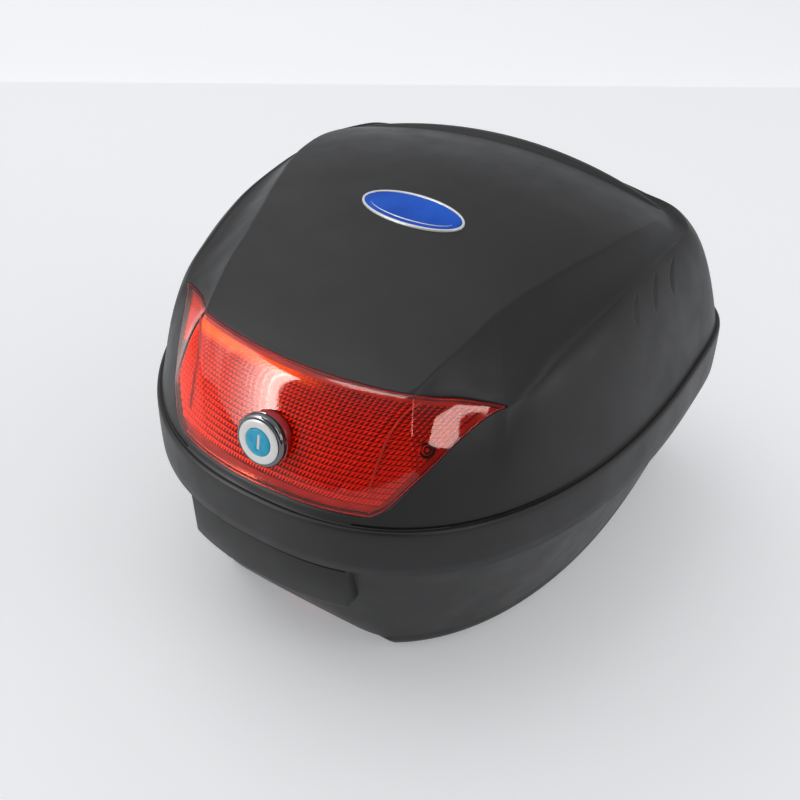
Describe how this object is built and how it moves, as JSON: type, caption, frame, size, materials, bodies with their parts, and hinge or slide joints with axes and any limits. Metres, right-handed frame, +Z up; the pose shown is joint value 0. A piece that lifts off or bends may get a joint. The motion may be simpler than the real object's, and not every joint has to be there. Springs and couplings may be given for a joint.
{
  "type": "top case",
  "caption": "Lockable scooter top case: tapered tub, domed hinged lid with a red rear lens and push lock, and a quick-release mounting plate under the floor.",
  "frame": {"origin": "middle of the case's outline, on the surface it stands on", "axes": "+Z up; -Y is the lens and lock side, +Y the hinge side; symmetric about x = 0"},
  "size_m": [0.4, 0.422, 0.2835],
  "materials": {
    "shell": "fine-grain moulded",
    "rubber": "matt",
    "trim": "satin moulded",
    "steel": "zinc plated",
    "chrome": "polished",
    "silver": "satin silver",
    "lens": "clear red, moulded prisms",
    "reflector": "prismatic",
    "blue_enamel": "gloss",
    "key_blue": "satin",
    "brass": "worn",
    "release_red": "satin",
    "mat": "ribbed",
    "black_screw": "black oxide"
  },
  "bodies": {
    "base": {"tub": "shell", "front_grip": "trim", "grip_screws": "steel", "rim_seal": "rubber", "hinge_bracket_left": "trim", "hinge_bracket_right": "trim", "hinge_pin_left": "steel", "hinge_pin_right": "steel", "hinge_bracket_screws": "steel", "striker": "steel", "striker_screws": "steel", "interior_mat": "mat", "catch_guide": "trim", "catch_guide_screws": "steel"},
    "plate_catch": {"plate_catch": "steel", "release_tab": "release_red", "catch_spring": "steel"},
    "lid": {"lid_shell": "shell", "rear_lip": "trim", "lid_hinge_left": "trim", "lid_hinge_right": "trim", "lid_hinge_screws": "steel", "lens": "lens", "lens_backing": "reflector", "lens_screws": "black_screw", "badge_rim": "silver", "badge_face": "blue_enamel", "lock_collar": "reflector", "lock_bezel": "chrome", "lock_gasket": "rubber", "lock_nut": "steel", "latch_bracket": "steel", "latch_pin": "steel"},
    "latch": {"latch_hook": "steel", "latch_spring": "steel"},
    "button": {"lock_button": "silver", "lock_spring": "steel"},
    "key": {"key_cylinder": "key_blue", "key_slot_liner": "brass", "lock_cam": "steel", "cam_screw": "steel"},
    "plate": {"mounting_plate": "trim", "plate_pads": "rubber", "plate_cover": "trim"}
  },
  "joints": [
    {"name": "lid_hinge", "type": "hinge", "parent": "base", "child": "lid", "pos_m": [0, 0.205, 0.112], "axis": [-1, 0, 0], "range_deg": [0, 80]},
    {"name": "button_push", "type": "slide", "parent": "lid", "child": "button", "axis": [0, 0.9736, -0.2284], "range_m": [0, 0.005], "stiffness_N_per_m": 700, "deforming": ["lock_spring"]},
    {"name": "key_turn", "type": "hinge", "parent": "button", "child": "key", "pos_m": [0, -0.1988, 0.2007], "axis": [0, -0.9736, 0.2284], "range_deg": [0, 90]},
    {"name": "latch_swing", "type": "hinge", "parent": "lid", "child": "latch", "pos_m": [0, -0.176, 0.168], "axis": [-1, 0, 0], "range_deg": [0, 14], "deforming": ["latch_spring"]},
    {"name": "catch_pull", "type": "slide", "parent": "base", "child": "plate_catch", "axis": [0, -1, 0], "range_m": [0, 0.006], "stiffness_N_per_m": 600, "deforming": ["catch_spring"]},
    {"name": "plate_release", "type": "slide", "parent": "base", "child": "plate", "axis": [0, 0, -1], "range_m": [0, 0.05]}
  ],
  "couplings": [
    {"joint": "latch_swing", "follows": "button_push", "rad_per_m": 47.6}
  ]
}
